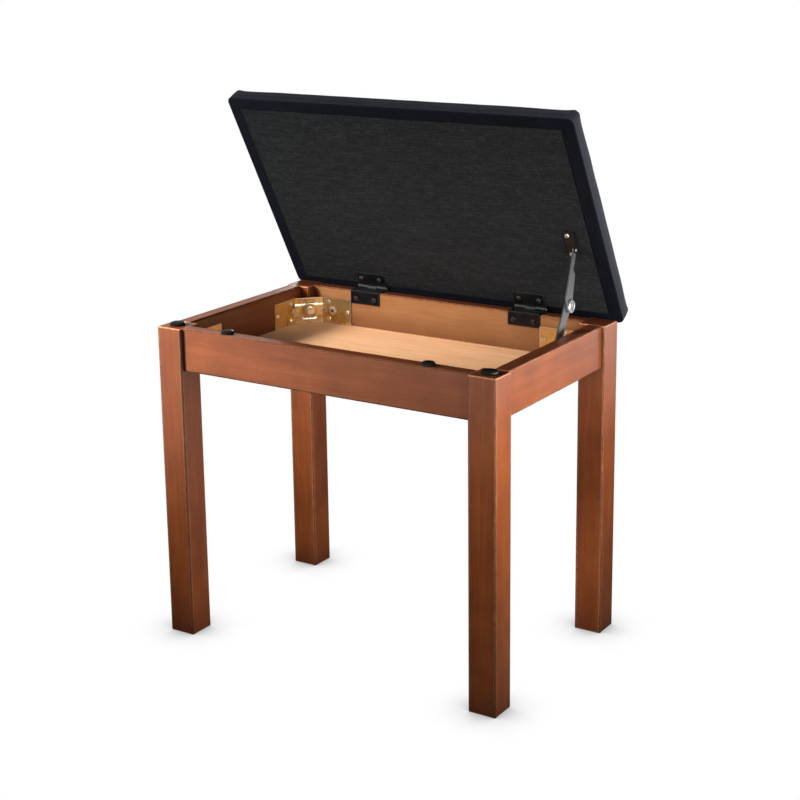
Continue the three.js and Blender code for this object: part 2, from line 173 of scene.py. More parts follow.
# Colours are linear. Stops run from the darkest tone of a pattern to its lightest.
WOOD_STOPS = [(0.34, (0.110, 0.025, 0.0065)), (0.5, (0.198, 0.049, 0.0122)), (0.66, (0.305, 0.084, 0.023))]
WOOD_THIN_STOPS = [(0.34, (0.172, 0.064, 0.022)), (0.5, (0.222, 0.094, 0.036)), (0.66, (0.285, 0.130, 0.055))]
WOOD_PORE = (0.085, 0.019, 0.006)
# the colour of convex edges: partly wear, partly a painted highlight where eased edges catch light
WOOD_WORN_HIGHLIGHT = (0.66, 0.29, 0.15)
# painted shade: the wood's colour where it lies in corners, joints and under the open lid, and how far to look
# for them
WOOD_PAINTED_SHADE = (0.040, 0.010, 0.004)
PAINTED_SHADE_REACH = 0.06
TRAY_STOPS = [(0.36, (0.62, 0.32, 0.16)), (0.5, (0.79, 0.43, 0.225)), (0.64, (0.92, 0.54, 0.30))]
ZINC_STOPS = [(0.34, (0.56, 0.32, 0.09)), (0.48, (0.78, 0.52, 0.19)), (0.58, (0.84, 0.62, 0.27)),
              (0.7, (0.80, 0.49, 0.26))]
ZINC_RUBBED_HIGHLIGHT = (1.0, 0.94, 0.78)
BLACK_STOPS = [(0.35, (0.0025, 0.0026, 0.003)), (0.65, (0.006, 0.0062, 0.007))]
BLACK_WORN_HIGHLIGHT = (0.10, 0.10, 0.105)
STEEL_TINT = (0.60, 0.60, 0.59)
ARM_TINT = (0.22, 0.22, 0.225)
STEEL_WORN = (0.80, 0.80, 0.79)
STEEL_SHADES = (0.72, 1.12)  # the darkest and the lightest brush marks, as shares of the tint
RUBBER_STOPS = [(0.4, (0.004, 0.004, 0.004)), (0.75, (0.012, 0.011, 0.010))]
LINEN_STOPS = [(0.40, (0.0042, 0.0050, 0.0088)), (0.5, (0.0085, 0.0098, 0.0158)),
               (0.6, (0.018, 0.020, 0.029))]
LINEN_WORN = (0.03, 0.032, 0.038)
LINEN_PAINTED_SHADE = (0.0006, 0.0012, 0.0018)
SHADED_UNDERSIDE = (0.4565, 0.4580)  # heights with the lid closed, from the cover's underside, darkened by painted shade, to its lit side
DUST_STOPS = [(0.36, (0.0015, 0.0019, 0.0022)), (0.52, (0.0056, 0.0064, 0.0069)),
              (0.68, (0.0195, 0.0215, 0.0226))]


def drawn_out(axis, factor):
    """Scales that stretch a pattern along one axis."""
    return tuple(factor if i == axis else 1.0 for i in range(3))


def stained_wood(name, grain, seed, stops=WOOD_STOPS):
    """Reddish-brown stain under satin lacquer; grain is the index of the axis that the fibres follow."""
    s = Shade(name, Coat_Weight=0.35, Coat_Roughness=0.16, Specular_IOR_Level=0.3)
    offset = (0.37 * seed, 0.73 * seed, 0.19 * seed)
    fibres = s.stretched(drawn_out(grain, 0.05), offset)
    long_fibres = s.stretched(drawn_out(grain, 0.0125), offset)
    broad = s.noise(14, 3, fibres, 0.5, 0.3)
    bands = s.noise(85, 5, fibres, 0.62, 0.5)
    fine = s.noise(620, 3, fibres, 0.6)
    pores = s.noise(1500, 2, long_fibres, 0.5)
    cloud = s.noise(22, 2)
    tone = s.blend((broad, 0.36), (bands, 0.30), (fine, 0.14), (cloud, 0.20))
    color = s.mix(s.range(pores, 0.62, 0.75, 0.0, 0.55), s.ramp(tone, stops), WOOD_PORE)
    # lighter convex edges: partly worn stain, partly a painted highlight
    wear_and_highlight = s.math("MULTIPLY", s.edge, s.range(s.noise(120, 3), 0.35, 0.65, 0.55, 1.0))
    color = s.mix(wear_and_highlight, color, WOOD_WORN_HIGHLIGHT)
    # painted shade: the wood is darkened where the occlusion finds corners, joints and the lid above
    color = s.mix(s.range(s.near(PAINTED_SHADE_REACH), 0.30, 0.88, 0.8, 0.0), color, WOOD_PAINTED_SHADE)
    height = s.blend((fine, 0.5), (pores, -0.5), (bands, 0.4))
    return s.finish(color, height, 0.12 * MM, s.range(fine, 0.3, 0.7, 0.28, 0.38))


def tray_board():
    s = Shade("tray_board", Specular_IOR_Level=0.3)
    fibres = s.stretched(drawn_out(0, 0.06))
    broad = s.noise(10, 3, fibres)
    streaks = s.noise(260, 4, fibres, 0.6)
    specks = s.noise(1800, 2)
    tone = s.blend((broad, 0.4), (streaks, 0.4), (specks, 0.2))
    height = s.blend((streaks, 0.6), (specks, 0.4))
    return s.finish(s.ramp(tone, TRAY_STOPS), height, 0.08 * MM, s.range(streaks, 0.3, 0.7, 0.55, 0.7))


def yellow_zinc(name, rub_and_highlight):
    """Yellow zinc plating, made lighter on its edges by the given share: partly rubbed wear, partly a painted
    highlight.
    """
    s = Shade(name, Metallic=0.93)
    cloud = s.noise(38, 3, distortion=0.6)
    drift = s.noise(11, 2)
    scratch = s.noise(900, 2, s.stretched(drawn_out(2, 0.04)))
    tone = s.blend((cloud, 0.55), (drift, 0.45))
    # lighter edges: partly rubbed plating, partly a painted highlight
    color = s.mix(s.range(s.edge, 0.0, 0.45, 0.0, rub_and_highlight), s.ramp(tone, ZINC_STOPS), ZINC_RUBBED_HIGHLIGHT)
    height = s.blend((scratch, 0.6), (cloud, 0.4))
    rough = s.blend((cloud, 0.12), (scratch, 0.16))
    return s.finish(color, height, 0.03 * MM, s.math("ADD", rough, 0.16))


def black_steel():
    s = Shade("black_steel", Specular_IOR_Level=0.22)
    grain = s.noise(1300, 2)
    patch = s.noise(60, 3)
    # lighter convex edges, such as a leaf's bend: partly worn paint, partly a painted highlight
    color = s.mix(s.math("MULTIPLY", s.edge, 0.4), s.ramp(patch, BLACK_STOPS), BLACK_WORN_HIGHLIGHT)
    return s.finish(color, grain, 0.03 * MM, s.range(patch, 0.3, 0.7, 0.26, 0.38))


def brushed_steel(name, tint, rough):
    """Steel brushed along Z; rough is the lowest and the highest roughness."""
    s = Shade(name, Metallic=1.0)
    brush = s.noise(1100, 3, s.stretched(drawn_out(2, 0.04)), 0.6)
    cloud = s.noise(45, 2)
    dark, light = (tuple(min(1, share * c) for c in tint) for share in STEEL_SHADES)
    color = s.mix(s.blend((brush, 0.6), (cloud, 0.4)), dark, light)
    color = s.mix(s.math("MULTIPLY", s.edge, 0.25), color, STEEL_WORN)
    return s.finish(color, brush, 0.04 * MM, s.range(brush, 0.3, 0.7, *rough))


def bumper_rubber():
    s = Shade("bumper_rubber", Specular_IOR_Level=0.25)
    grain = s.noise(1500, 2)
    dust = s.noise(160, 3)
    return s.finish(s.ramp(dust, RUBBER_STOPS), grain, 0.05 * MM, s.range(dust, 0.3, 0.7, 0.32, 0.48))


def linen_cover():
    """Dark blue-grey coated cloth with a fine crossed thread; painted shade darkens it on the lid's underside,
    where it is also less shiny.
    """
    s = Shade("linen_cover", Sheen_Weight=0.015, Sheen_Roughness=0.4)
    threads = [s.noise(900, 2, s.stretched(drawn_out(axis, 0.05)), 0.6) for axis in range(3)]
    slubs = [s.noise(230, 3, s.stretched(drawn_out(axis, 0.06)), 0.6) for axis in range(3)]
    weave = s.blend(*[(t, 1 / 3) for t in threads])
    slub = s.blend(*[(t, 1 / 3) for t in slubs])
    wide = s.noise(9, 3)
    tone = s.blend((weave, 0.4), (slub, 0.45), (wide, 0.15))
    color = s.mix(s.math("MULTIPLY", s.edge, 0.2), s.ramp(tone, LINEN_STOPS), LINEN_WORN)
    level = s.make("ShaderNodeSeparateXYZ", {"Vector": s.coords}).outputs["Z"]
    # painted shade: the cover is darkened below the given heights, on the lid's underside, and made less shiny
    # there
    color = s.mix(s.range(level, *SHADED_UNDERSIDE, 0.70, 0.0), color, LINEN_PAINTED_SHADE)
    s.tree.links.new(s.range(level, *SHADED_UNDERSIDE, 0.04, 0.16), s.shader.inputs["Specular IOR Level"])
    height = s.blend((weave, 0.7), (slub, 0.6))
    return s.finish(color, height, 0.22 * MM, s.range(slub, 0.35, 0.65, 0.48, 0.62))


def dust_weave():
    """Near-black cloth with lighter slubs along its threads."""
    s = Shade("dust_weave", Roughness=0.9, Specular_IOR_Level=0.1, Sheen_Weight=0.03)
    warp = s.wave("X", 230, 0.6)
    weft = s.wave("Y", 260, 0.6)
    slub = s.noise(360, 3, s.stretched(drawn_out(0, 0.16)), 0.7)
    thick = s.noise(150, 3, s.stretched(drawn_out(0, 0.12)), 0.6)
    cross = s.noise(360, 3, s.stretched(drawn_out(1, 0.3)), 0.7)
    cloth = s.math("MAXIMUM", warp, weft)
    tone = s.blend((slub, 0.42), (cross, 0.30), (thick, 0.16), (cloth, 0.12))
    return s.finish(s.ramp(tone, DUST_STOPS), s.blend((cloth, 0.5), (slub, 0.6)), 0.25 * MM)


LEG_WOOD = {label: stained_wood("leg_wood_" + label, 2, 1 + i) for i, label in enumerate(CORNERS)}
LONG_WOOD = stained_wood("apron_wood_long", 0, 11)
THIN_WOOD = stained_wood("apron_wood_inside", 0, 23, WOOD_THIN_STOPS)
SHORT_WOOD = stained_wood("apron_wood_short", 1, 17)
TRAY = tray_board()
ZINC = yellow_zinc("yellow_zinc", 0.9)
WASHER_ZINC = yellow_zinc("washer_zinc", 0.0)
BLACK = black_steel()
STEEL = brushed_steel("plated_steel", STEEL_TINT, (0.30, 0.46))
ARM_STEEL = brushed_steel("stay_steel", ARM_TINT, (0.50, 0.62))
RUBBER = bumper_rubber()
COVER = linen_cover()
CLOTH = dust_weave()


# ---- shapes: a shape is (points, faces)
def shape_of(bm):
    bm.verts.index_update()
    made = [v.co.copy() for v in bm.verts], [[v.index for v in f.verts] for f in bm.faces]
    bm.free()
    return made


def mesh_of(shape, name="shape"):
    mesh = bpy.data.meshes.new(name)
    mesh.from_pydata([tuple(p) for p in shape[0]], [], shape[1])
    return mesh


def bmesh_of(shape):
    bm, mesh = bmesh.new(), mesh_of(shape)
    bm.from_mesh(mesh)
    bpy.data.meshes.remove(mesh)
    return bm


def moved(shape, matrix):
    return [matrix @ Vector(p) for p in shape[0]], shape[1]


def joined(shapes):
    points, faces = [], []
    for p, f in shapes:
        faces += [[len(points) + i for i in face] for face in f]
        points += list(p)
    return points, faces


def linked(name, data):
    """A new object, in the scene."""
    obj = bpy.data.objects.new(name, data)
    bpy.context.scene.collection.objects.link(obj)
    return obj


def merged(stock, others, operation):
    """A closed shape with others added to it, by UNION, or cut out of it, by DIFFERENCE."""
    objects = [linked("part", mesh_of(outward(shape))) for shape in (stock, *others)]
    for other in objects[1:]:
        step = objects[0].modifiers.new("step", "BOOLEAN")
        step.operation, step.solver, step.object = operation, "EXACT", other
    bpy.context.view_layer.update()
    bm = bmesh.new()
    bm.from_object(objects[0], bpy.context.evaluated_depsgraph_get())
    if operation == "UNION":
        bmesh.ops.dissolve_limit(bm, angle_limit=0.02, verts=bm.verts, edges=bm.edges)
    for obj in objects:
        bpy.data.meshes.remove(obj.data)
    return shape_of(bm)


def outward(shape):
    bm = bmesh_of(shape)
    bmesh.ops.recalc_face_normals(bm, faces=bm.faces)
    return shape_of(bm)


def arc(cx, cy, radius, start, end, steps):
    angles = np.linspace(start, end, steps + 1)
    return [(cx + radius * math.cos(a), cy + radius * math.sin(a)) for a in angles]


def fillet(points, steps=5):
    """A polygon of (x, y, radius) with its corners rounded."""
    out = []
    for i, (x, y, radius) in enumerate(points):
        if not radius:
            out.append((x, y))
            continue
        p = Vector((x, y))
        a = (Vector(points[i - 1][:2]) - p).normalized()
        b = (Vector(points[(i + 1) % len(points)][:2]) - p).normalized()
        half = a.angle(b) / 2
        centre = p + (a + b).normalized() * (radius / math.sin(half))
        start, end = [p + d * (radius / math.tan(half)) - centre for d in (a, b)]
        first = math.atan2(start.y, start.x)
        turn = (math.atan2(end.y, end.x) - first + math.pi) % (2 * math.pi) - math.pi
        out += arc(*centre, radius, first, first + turn, steps)
    return out


def rectangle(x0, x1, y0, y1, radius):
    return fillet([(x0, y0, radius), (x1, y0, radius), (x1, y1, radius), (x0, y1, radius)])


def prism(outline, low, high, axis):
    """An outline in the two other axes, in X, Y, Z order, run along an axis."""
    order = {"x": (2, 0, 1), "y": (0, 2, 1), "z": (0, 1, 2)}[axis]
    points = [[(a, b, c)[k] for k in order] for c in (low, high) for a, b in outline]
    n = len(outline)
    sides = [[i, (i + 1) % n, n + (i + 1) % n, n + i] for i in range(n)]
    return outward((points, [list(range(n)), list(range(n, 2 * n)), *sides]))


def eased(shape, width, segments=3, loop=0.0, above=30):
    """The shape with its hard edges rounded, and a loop of points inside each large flat face."""
    bm = bmesh_of(shape)
    hard = [e for e in bm.edges if e.is_manifold and e.calc_face_angle(0) > math.radians(above)]
    bmesh.ops.bevel(bm, geom=hard, offset=width, segments=segments, profile=0.5, affect="EDGES",
                    clamp_overlap=True)
    if loop:
        wide = [f for f in bm.faces if f.calc_area() > 60 * loop * loop]
        bmesh.ops.inset_individual(bm, faces=wide, thickness=loop, use_even_offset=True)
    return shape_of(bm)


def lathe(profile, sides=32):
    """A closed solid about Z from (radius, height) pairs that begin and end on the axis."""
    points = [(0, 0, profile[0][1]), (0, 0, profile[-1][1])]
    rings = []
    for radius, height in profile[1:-1]:
        rings.append(range(len(points), len(points) + sides))
        points += [(x, y, height) for x, y in arc(0, 0, radius, 0, 2 * math.pi * (1 - 1 / sides), sides - 1)]
    faces = []
    for i in range(sides):
        j = (i + 1) % sides
        faces += [[0, rings[0][j], rings[0][i]], [1, rings[-1][i], rings[-1][j]]]
        faces += [[a[i], a[j], b[j], b[i]] for a, b in zip(rings, rings[1:])]
    return outward((points, faces))


def ring_solid(outer, inner, sides):
    """A closed ring about Z: outer and inner are lists of (radius or function of the angle, height)."""
    angles = np.linspace(0, 2 * math.pi, sides, endpoint=False)
    points, rows = [], []
    for radius, height in [*outer, *reversed(inner)]:
        rows.append(len(points))
        for a in angles:
            r = radius(a) if callable(radius) else radius
            h = height(a) if callable(height) else height
            points.append((r * math.cos(a), r * math.sin(a), h))
    faces = []
    for k, row in enumerate(rows):
        after = rows[(k + 1) % len(rows)]
        faces += [[row + i, row + (i + 1) % sides, after + (i + 1) % sides, after + i] for i in range(sides)]
    return outward((points, faces))


def add(name, shape, body, material, replaces=(), place=None, sharp=38):
    """Puts a shape in the scene as a piece, with an edge attribute that is high on its convex edges."""
    mesh = mesh_of(shape, name)
    mesh.shade_smooth()
    mesh.set_sharp_from_angle(angle=math.radians(sharp))
    mesh.materials.append(material)
    obj = linked(name, mesh)
    obj.matrix_world = place or Matrix.Identity(4)
    mark_edges(mesh)
    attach(obj, body)
    if replaces:
        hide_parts(*replaces)
    return obj


FULL_BEND = 0.6  # radians of convex bend at a point that count as a full edge


def mark_edges(mesh):
    bm = bmesh.new()
    bm.from_mesh(mesh)
    values = []
    for v in bm.verts:
        bends = [e.calc_face_angle_signed(0) for e in v.link_edges if e.is_manifold]
        values.append(min(1.0, sum(b for b in bends if b > 0) / FULL_BEND))
    bm.free()
    mesh.attributes.new("edge", "FLOAT", "POINT").data.foreach_set("value", values)


def turned_to(direction, at, spin=0.0):
    """A placement that turns +Z to a direction."""
    turn = Vector((0, 0, 1)).rotation_difference(Vector(direction)).to_matrix().to_4x4()
    return Matrix.Translation(at) @ turn @ Matrix.Rotation(spin, 4, "Z")


# ---- screws, rivets, bolts
def cross_head(radius, height):
    """A domed head standing on z = 0 with a cross recess, as a fine square grid drawn into a disc."""
    slot, wall, reach, depth, rim_height = 0.13, 0.05, 0.62, 0.55, 0.35
    walls = (-slot, slot, -slot - wall, slot + wall, -reach, reach)
    lines = sorted({*np.linspace(-1, 1, 13).round(4), *walls})
    n = len(lines)
    points, index = [], {}
    for i, u in enumerate(lines):
        for j, v in enumerate(lines):
            x, y = u * math.sqrt(1 - v * v / 2), v * math.sqrt(1 - u * u / 2)
            r = min(1.0, math.hypot(x, y))
            z = height * (rim_height + (1 - rim_height) * math.sqrt(max(0, 1 - r**2.4)))
            inside = (abs(u) <= slot and abs(v) < reach) or (abs(v) <= slot and abs(u) < reach)
            index[i, j] = len(points)
            points.append((radius * x, radius * y, z - (depth * height if inside else 0)))
    faces = [[index[i, j], index[i + 1, j], index[i + 1, j + 1], index[i, j + 1]]
             for i in range(n - 1) for j in range(n - 1)]
    rim = [index[i, 0] for i in range(n)] + [index[n - 1, j] for j in range(1, n)]
    rim += [index[i, n - 1] for i in range(n - 2, -1, -1)] + [index[0, j] for j in range(n - 2, 0, -1)]
    base, m = len(points), len(rim)
    points += [(points[k][0], points[k][1], 0.0) for k in rim]
    faces += [[rim[k], base + k, base + (k + 1) % m, rim[(k + 1) % m]] for k in range(m)]
    faces.append([base + k for k in range(m)])
    return outward((points, faces))


def hex_nut(corners, height, bore):
    """A nut from z = 0 with both ends chamfered; corners is its radius at the corners."""
    flat, chamfer = corners * math.cos(math.pi / 6), 0.5 * MM
    side = lambda a: flat / math.cos((a + math.pi / 6) % (math.pi / 3) - math.pi / 6)
    face = 0.97 * flat
    drop = lambda a: 0.55 * max(0.0, side(a) - face)
    outer = [(face, 0.0), (side, drop), (side, lambda a: height - drop(a)), (face, height)]
    inner = [(bore + chamfer, 0.0), (bore, chamfer), (bore, height - chamfer), (bore + chamfer, height)]
    return ring_solid(outer, inner, 60)


def washer(height):
    """A flat washer from z = 0 with its outer edges eased."""
    radius, bore, ease = 11.5 * MM, 4.5 * MM, 0.3 * MM
    outer = [(radius - 2 * ease, 0), (radius, ease), (radius, height - ease), (radius - 2 * ease, height)]
    return ring_solid(outer, [(bore, 0), (bore, height)], 40)


def threaded_rod(radius, length):
    """A rod from z = 0 with a helical thread and a chamfered end."""
    pitch, thread, tip, sides = 1.25 * MM, 0.6 * MM, 0.9 * MM, 24
    steps = int(length / (pitch / 4))
    points = [(0, 0, 0), (0, 0, length)]
    for k in range(steps + 1):
        z = length * k / steps
        for i in range(sides):
            turn = i / sides
            phase = abs(((z / pitch - turn) % 1) * 2 - 1)
            r = min(radius - thread * phase, radius - tip + (length - z))
            points.append((r * math.cos(2 * math.pi * turn), r * math.sin(2 * math.pi * turn), z))
    ring = lambda k, i: 2 + k * sides + i % sides
    faces = [[ring(k, i), ring(k, i + 1), ring(k + 1, i + 1), ring(k + 1, i)]
             for k in range(steps) for i in range(sides)]
    faces += [[0, ring(0, i + 1), ring(0, i)] for i in range(sides)]
    faces += [[1, ring(steps, i), ring(steps, i + 1)] for i in range(sides)]
    return outward((points, faces))


# ---- wooden frame
LEG_ROUND = 2 * MM
LEG_EASE = 0.9 * MM
APRON_ROUND = 1.5 * MM
APRON_EASE = 0.3 * MM
REBATE = 6 * MM
REBATE_ROUND = 0.4 * MM
LOOP = 1.0 * MM

for label in CORNERS:
    low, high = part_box("leg_" + label)
    post = prism(rectangle(low.x, high.x, low.y, high.y, LEG_ROUND), low.z, high.z, "z")
    post = eased(post, LEG_EASE, 3, LOOP)
    add("leg_post_" + label, post, "frame", LEG_WOOD[label], ["leg_" + label])


def apron(name, axis, sign, material):
    """A board along an axis with its rebate for the tray; sign is the side of the bench that it closes."""
    low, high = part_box("apron_" + name)
    across = 1 - axis
    outer, inner = (low[across], high[across]) if sign < 0 else (high[across], low[across])
    deep = inner + sign * REBATE
    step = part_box("storage_tray")[1].z
    corners = [(outer, low.z, APRON_ROUND), (deep, low.z, REBATE_ROUND), (deep, step, 0),
               (inner, step, REBATE_ROUND), (inner, high.z, APRON_ROUND), (outer, high.z, APRON_ROUND)]
    board = eased(prism(fillet(corners, 6), low[axis], high[axis], "xy"[axis]), APRON_EASE, 2, LOOP, 50)
    obj = add("apron_board_" + name, board, "frame", material, ["apron_" + name])
    if material == LONG_WOOD:
        obj.data.materials.append(THIN_WOOD)
        for face in obj.data.polygons:
            face.material_index = int(face.normal[across] * sign < -0.9)


apron("front", 0, -1, LONG_WOOD)
apron("back", 0, 1, LONG_WOOD)
apron("left", 1, -1, SHORT_WOOD)
apron("right", 1, 1, SHORT_WOOD)


# ---- corner brackets with their bolts
STRIP = {"thickness": 1.5 * MM, "end": 82 * MM, "corner": 34 * MM, "round": 5 * MM, "step": 1.15 * MM}
BEND = 24 * MM  # from the strip's middle to each bend, along the strip
HOLES = [(-BEND, 0, 1.3 * MM), (BEND, 0, 1.3 * MM), (-40 * MM, 0, 2.3 * MM), (0, 0, 4.5 * MM)]
PRESSED = {"panel": -1.1 * MM, "rib": 1.7 * MM, "knee": 1.0 * MM, "boss": 2.2 * MM}
SCREW = {"radius": 3.4 * MM, "height": 2.0 * MM}
BRACKET_SCREWS = [(42, -13), (42, 13), (76, 0)]  # mm from the corner and above the bolt
NUT = {"corners": 7.5 * MM, "bore": 3.9 * MM}
BOLT_RADIUS = 4 * MM


def smooth_step(x, low, high):
    t = np.clip((x - low) / (high - low), 0, 1)
    return t * t * (3 - 2 * t)


def fade(x, low, high):
    """1 below low mm and 0 beyond high mm."""
    return 1 - smooth_step(x, low * MM, high * MM)


def strip_path():
    """Points along the bracket's back face, from flange end to flange end, and the distance run at each."""
    back = STRIP["corner"] - STRIP["thickness"] * math.sqrt(2)
    end, bend = STRIP["end"], STRIP["round"]
    points = [Vector(p) for p in fillet([(0, -end, 0), (0, -back, bend), (-back, 0, bend), (-end, 0, 0)], 8)]
    run = [0.0]
    for a, b in zip(points, points[1:]):
        run.append(run[-1] + (b - a).length)
    return points, run


def strip_tangent(points, k):
    a, b = points[max(k - 1, 0)], points[min(k + 1, len(points) - 1)]
    return (b - a).normalized()


def strip_at(points, run, s):
    """The point at a distance s along the path, and the normal there, towards the room."""
    k = min(max(np.searchsorted(run, s) - 1, 0), len(points) - 2)
    t = (s - run[k]) / (run[k + 1] - run[k])
    ahead = strip_tangent(points, k).lerp(strip_tangent(points, k + 1), t).normalized()
    return points[k].lerp(points[k + 1], t), Vector((-ahead.y, ahead.x))


def pressed_height(s, z):
    """How far the sheet is pressed towards the room; s runs from the strip's middle, z from the bolt."""
    panel = smooth_step(BEND - abs(s), -1 * MM, 3 * MM) * (1 - fade(abs(z), 8, 10))
    rib = fade(abs(abs(z) - 13.5 * MM), 0.9, 2.2) * fade(abs(s), 9.5, 11.5)
    knee = fade(math.hypot((abs(s) - BEND) / 1.5, z), 1.5, 4.5)
    boss = fade(math.hypot(s + BEND + 16 * MM, z), 3.2, 7)
    parts = {"panel": panel, "rib": rib, "knee": knee, "boss": boss}
    return sum(PRESSED[name] * share for name, share in parts.items())


def walled(top, bottom, quads):
    """A closed sheet from two lists of points over the same quads, with walls along its open edges."""
    m = len(bottom)
    edges = {(a, b): None for q in quads for a, b in zip(q, q[1:] + q[:1])}
    walls = [[b, a, m + a, m + b] for a, b in edges if (b, a) not in edges]
    faces = [list(q) for q in quads] + [[m + k for k in reversed(q)] for q in quads] + walls
    return top + bottom, faces


def bracket_shape(half_height):
    """The bent strip as a grid without the cells inside its holes, its points pulled onto the holes' rims."""
    points, run = strip_path()
    total, half = run[-1], run[-1] / 2
    columns = np.linspace(0, total, round(total / STRIP["step"]) + 1)
    rows = np.linspace(-half_height, half_height, round(2 * half_height / STRIP["step"]) + 1)
    grid = np.array([[(s - half, z) for z in rows] for s in columns])
    keep = set()
    for i in range(len(columns) - 1):
        for j in range(len(rows) - 1):
            middle = grid[i:i + 2, j:j + 2].reshape(4, 2).mean(0)
            if all(math.hypot(middle[0] - x, middle[1] - y) > r for x, y, r in HOLES):
                keep.add((i, j))
    for i in range(len(columns)):
        for j in range(len(rows)):
            around = [(a, b) in keep for a in (i - 1, i) for b in (j - 1, j)]
            for x, y, r in HOLES:
                away = math.hypot(grid[i, j, 0] - x, grid[i, j, 1] - y)
                if away < 2.2 * r and any(around) and not all(around):
                    grid[i, j] = (x, y) + (grid[i, j] - (x, y)) * (r / away)
    front, back = [], []
    for i in range(len(columns)):
        for j in range(len(rows)):
            s, z = grid[i, j]
            point, normal = strip_at(points, run, s + half)
            lift = pressed_height(s, z)
            for side, offset in ((back, lift), (front, lift + STRIP["thickness"])):
                p = point + normal * offset
                side.append((p.x, p.y, z))
    n = len(rows)
    quads = [(i * n + j, (i + 1) * n + j, (i + 1) * n + j + 1, i * n + j + 1) for i, j in sorted(keep)]
    bm = bmesh_of(walled(front, back, quads))
    bmesh.ops.delete(bm, geom=[v for v in bm.verts if not v.link_faces], context="VERTS")
    return outward(shape_of(bm))


def corner(label, sx, sy, turn):
    """A corner's bracket with its screws, and its bolt with washer and nut; sx and sy say which corner."""
    back, middle_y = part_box("apron_back")[0].y, (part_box("apron_front")[1].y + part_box("apron_back")[0].y) / 2
    washer_low, washer_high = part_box("washer_" + label)
    inner_x, inner_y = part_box("apron_left")[1].x, back - middle_y
    origin = Vector((-sx * inner_x, middle_y + sy * inner_y, (washer_low.z + washer_high.z) / 2))
    place = Matrix.Translation(origin) @ Matrix.Rotation(turn, 4, "Z")
    head = cross_head(SCREW["radius"], SCREW["height"])
    lift = STRIP["thickness"]
    shapes = [BRACKET]
    for n, (distance, rise) in enumerate(BRACKET_SCREWS):
        shapes.append(moved(head, turned_to((-1, 0, 0), (-lift, -distance * MM, rise * MM), 0.7 * n + sx)))
        shapes.append(moved(head, turned_to((0, -1, 0), (-distance * MM, -lift, rise * MM), 1.1 * n + sy)))
    add("bracket_" + label, joined(shapes), "frame", ZINC, ["corner_bracket_" + label], place)
    inward = Vector((-sx, -sy, 0)).normalized()

    def on_bolt(name, node, shape_for, material, spin=0.0):
        """A piece on the bolt's axis, of the length that the CAD's node has along it."""
        runs = [(Vector(p) - origin).dot(inward) for p in cad_points(node + label)]
        start = turned_to(inward, origin + inward * min(runs), spin)
        shape = shape_for(max(runs) - min(runs))
        add(name + label, shape, "frame", material, [node + label], start)

    nut = lambda length: hex_nut(NUT["corners"], length, NUT["bore"])
    on_bolt("flat_washer_", "washer_", washer, WASHER_ZINC)
    on_bolt("bolt_nut_", "hex_nut_", nut, ZINC, 0.5 * sx + 0.3 * sy)
    on_bolt("bolt_", "hanger_bolt_", lambda length: threaded_rod(BOLT_RADIUS, length), ZINC)


low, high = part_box("corner_bracket_front_left")
BRACKET = bracket_shape((high.z - low.z) / 2)
TURNS = {"front_left": 2 * QUARTER, "front_right": -QUARTER, "back_left": QUARTER, "back_right": 0}
for label, (sx, sy) in CORNERS.items():
    corner(label, sx, sy, TURNS[label])


# ---- hinges
LEAF = 1.5 * MM
LEAF_EASE = 0.22 * MM
BARREL = 2.6 * MM
BORE = 1.45 * MM
LEAF_END = PIN.y - 3.3 * MM  # where the flat of each leaf stops, before its knuckles
LAP = 1 * MM


def knuckle_outline(edge, low, high, above):
    """The curl round the pin of a leaf between low and high that ends at edge; it passes above or below."""
    turn = 1 if above else -1
    outer = arc(PIN.y, PIN.z, BARREL, turn * QUARTER, -turn * 0.95 * math.pi, 18)
    inner = arc(PIN.y, PIN.z, BORE, -turn * 0.95 * math.pi, turn * QUARTER, 14)
    start, end = (high, low) if above else (low, high)
    return [(edge, start), *outer, *inner, (edge, end)]


def screw(node, body, direction, material, spin, place=None):
    """A cross-head screw where the CAD's screw stands, facing a direction."""
    low, high = box_of(node, place)
    facing = Vector(direction)
    reach = abs(facing.dot(high - low))
    seat = (low + high) / 2 - facing * (reach / 2)
    at = (place or Matrix.Identity(4)) @ turned_to(direction, seat, spin)
    add("head_" + node, cross_head(SCREW["radius"], 1.1 * reach), body, material, [node], at)


def leaf(name, node, body, plate, knuckles, place=None):
    """A hinge leaf: a plate and its knuckles in one piece."""
    shape = eased(merged(plate, knuckles, "UNION"), LEAF_EASE, 2, 0.5 * MM)
    add(name, shape, body, BLACK, [node], place)


